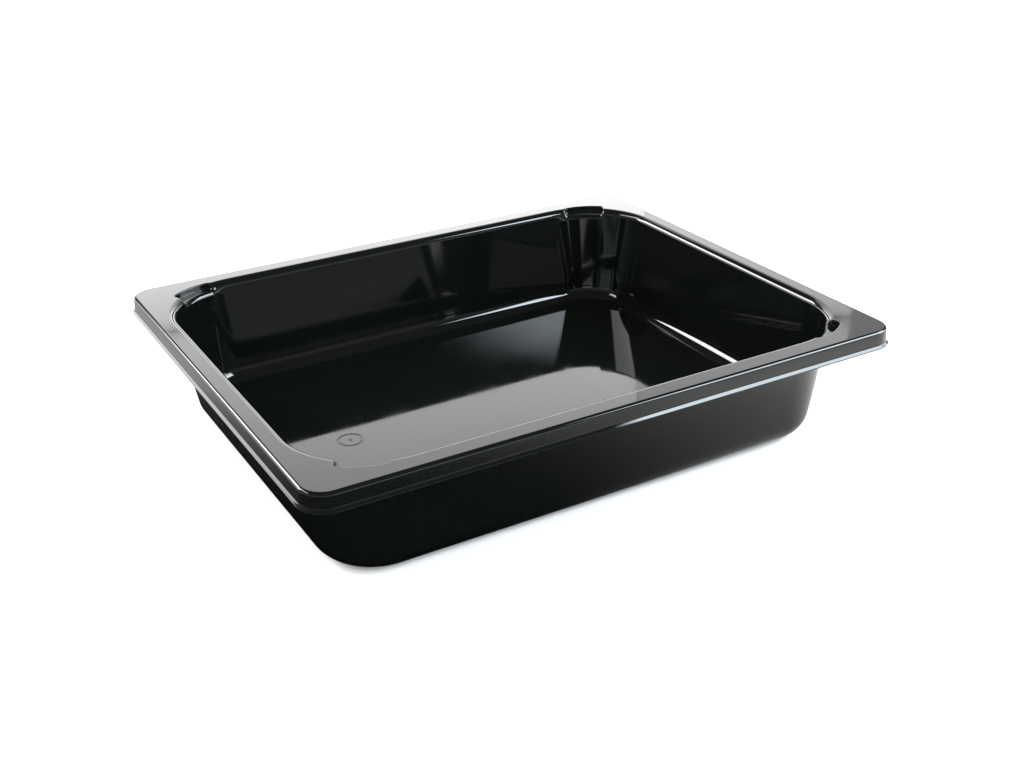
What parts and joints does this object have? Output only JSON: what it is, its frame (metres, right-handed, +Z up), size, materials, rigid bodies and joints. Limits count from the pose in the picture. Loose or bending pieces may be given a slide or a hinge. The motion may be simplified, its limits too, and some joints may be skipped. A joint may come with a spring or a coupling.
{
  "type": "food pan",
  "caption": "Shallow rectangular gastronorm food pan in glossy black plastic, with drafted walls, a flat flange with a turned-down lipped skirt, and stacking ledges in the corners.",
  "frame": {"origin": "centre of the foot ring, on the surface that the pan stands on", "axes": "+X along the long side, +Y to the back, +Z up out of the mouth"},
  "size_m": [0.325, 0.265, 0.065],
  "materials": {
    "pan_plastic": "high gloss moulded black polycarbonate"
  },
  "bodies": {
    "root": {"back_flange": "pan_plastic", "back_left_corner_wall": "pan_plastic", "back_left_flange": "pan_plastic", "back_left_ledge": "pan_plastic", "back_left_skirt": "pan_plastic", "back_right_corner_wall": "pan_plastic", "back_right_flange": "pan_plastic", "back_right_ledge": "pan_plastic", "back_right_skirt": "pan_plastic", "back_skirt": "pan_plastic", "back_wall": "pan_plastic", "floor_mark": "pan_plastic", "floor_panel": "pan_plastic", "foot_ring": "pan_plastic", "front_flange": "pan_plastic", "front_left_corner_wall": "pan_plastic", "front_left_flange": "pan_plastic", "front_left_ledge": "pan_plastic", "front_left_skirt": "pan_plastic", "front_right_corner_wall": "pan_plastic", "front_right_flange": "pan_plastic", "front_right_ledge": "pan_plastic", "front_right_skirt": "pan_plastic", "front_skirt": "pan_plastic", "front_wall": "pan_plastic", "left_flange": "pan_plastic", "left_skirt": "pan_plastic", "left_wall": "pan_plastic", "right_flange": "pan_plastic", "right_skirt": "pan_plastic", "right_wall": "pan_plastic"}
  },
  "joints": []
}
